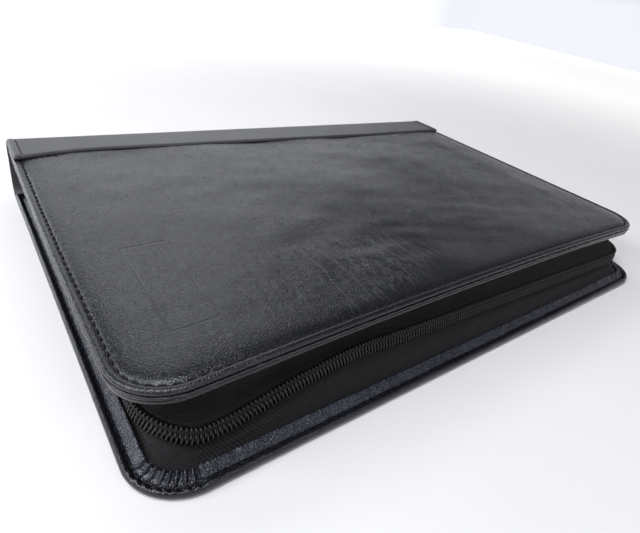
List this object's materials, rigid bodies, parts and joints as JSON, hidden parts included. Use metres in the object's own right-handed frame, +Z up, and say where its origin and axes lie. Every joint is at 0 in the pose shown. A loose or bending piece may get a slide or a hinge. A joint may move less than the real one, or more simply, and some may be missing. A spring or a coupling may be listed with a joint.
{
  "type": "leather document case",
  "caption": "Zip-around leather portfolio for A4 papers, closed, with padded covers, a wrapped spine and a fabric gusset with a coil zip on three sides.",
  "frame": {"origin": "middle of the footprint, on the surface that the case lies on", "axes": "+X along the near long side, from left to right; +Y from the zipped long side to the spine; +Z up, out of the front cover"},
  "size_m": [0.3468, 0.2552, 0.0413],
  "materials": {
    "leather": "smooth grained, semi-gloss",
    "satin_leather": "satin",
    "gusset_fabric": "herringbone weave, matte",
    "zip_nylon": "glossy",
    "slider_metal": "dark, semi-gloss"
  },
  "bodies": {
    "root": {"back_cover": "leather", "back_edge_binding": "satin_leather", "front_cover": "leather", "front_edge_binding": "satin_leather", "spine": "leather", "gusset_upper": "gusset_fabric", "gusset_lower": "gusset_fabric", "zip_tape_upper": "gusset_fabric", "zip_tape_lower": "gusset_fabric", "zip_coil_upper": "zip_nylon", "zip_coil_lower": "zip_nylon", "end_tab_left": "satin_leather", "end_tab_right": "satin_leather", "zip_slider": "slider_metal"}
  },
  "joints": []
}
